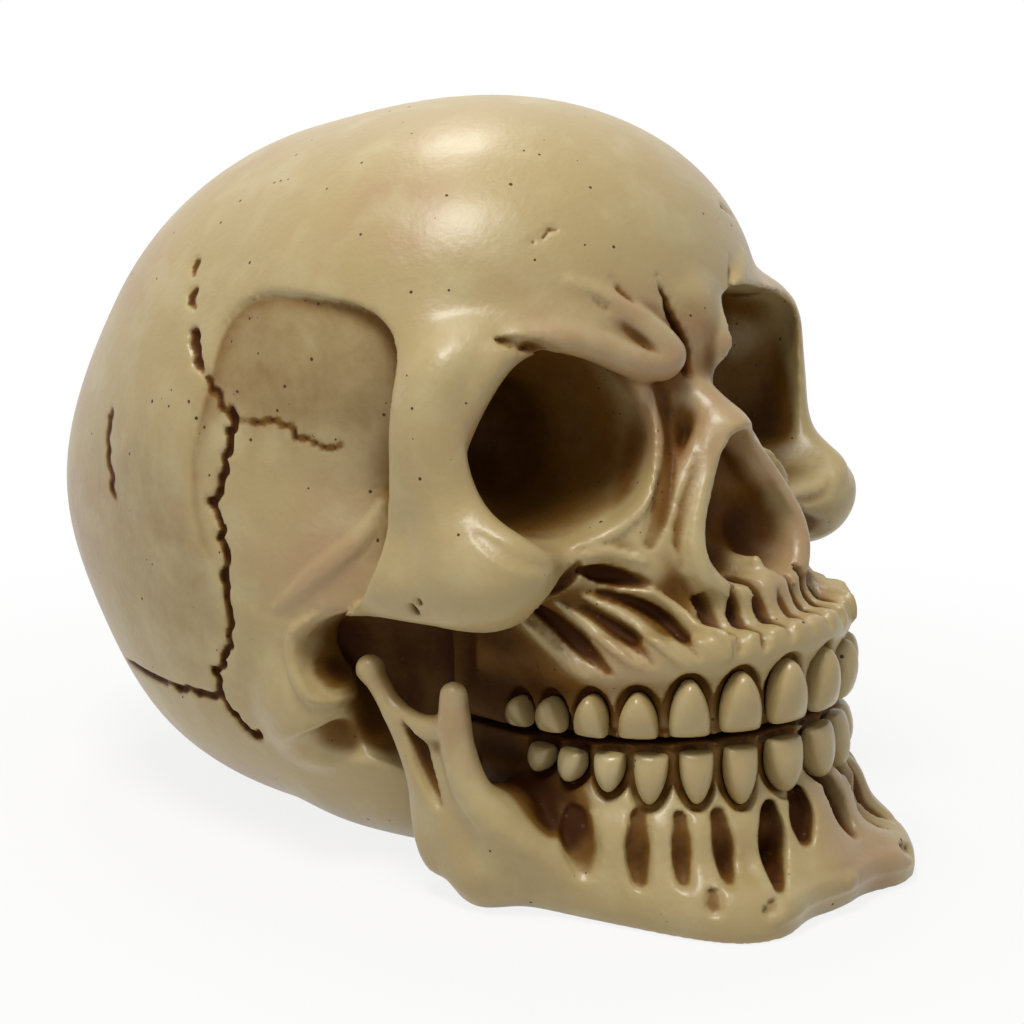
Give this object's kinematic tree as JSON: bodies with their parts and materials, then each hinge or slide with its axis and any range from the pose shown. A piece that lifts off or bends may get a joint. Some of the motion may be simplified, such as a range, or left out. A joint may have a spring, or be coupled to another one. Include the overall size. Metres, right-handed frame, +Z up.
{
  "type": "resin skull ornament",
  "caption": "Hollow cast resin skull ornament on a flat base, with a clenched lower jaw, deep eye sockets and separate teeth.",
  "frame": {"origin": "on the ground under the middle of the overall box", "axes": "+Z up, the face looks along -Y, the skull's own right side at -X"},
  "size_m": [0.106, 0.1668, 0.1255],
  "materials": {
    "cast_resin": "satin, cream with brown wash in the recesses",
    "tooth_resin": "glossy, cream with brown wash at the gum",
    "disc": "felt"
  },
  "bodies": {
    "root": {"cranium": "cast_resin", "mandible": "cast_resin", "closing_disc": "disc", "upper_right_central_incisor": "tooth_resin", "upper_right_lateral_incisor": "tooth_resin", "upper_right_canine": "tooth_resin", "upper_right_first_premolar": "tooth_resin", "upper_right_second_premolar": "tooth_resin", "upper_right_first_molar": "tooth_resin", "upper_right_second_molar": "tooth_resin", "upper_left_central_incisor": "tooth_resin", "upper_left_lateral_incisor": "tooth_resin", "upper_left_canine": "tooth_resin", "upper_left_first_premolar": "tooth_resin", "upper_left_second_premolar": "tooth_resin", "upper_left_first_molar": "tooth_resin", "upper_left_second_molar": "tooth_resin", "lower_right_central_incisor": "tooth_resin", "lower_right_lateral_incisor": "tooth_resin", "lower_right_canine": "tooth_resin", "lower_right_first_premolar": "tooth_resin", "lower_right_second_premolar": "tooth_resin", "lower_right_first_molar": "tooth_resin", "lower_right_second_molar": "tooth_resin", "lower_left_central_incisor": "tooth_resin", "lower_left_lateral_incisor": "tooth_resin", "lower_left_canine": "tooth_resin", "lower_left_first_premolar": "tooth_resin", "lower_left_second_premolar": "tooth_resin", "lower_left_first_molar": "tooth_resin", "lower_left_second_molar": "tooth_resin"}
  },
  "joints": []
}
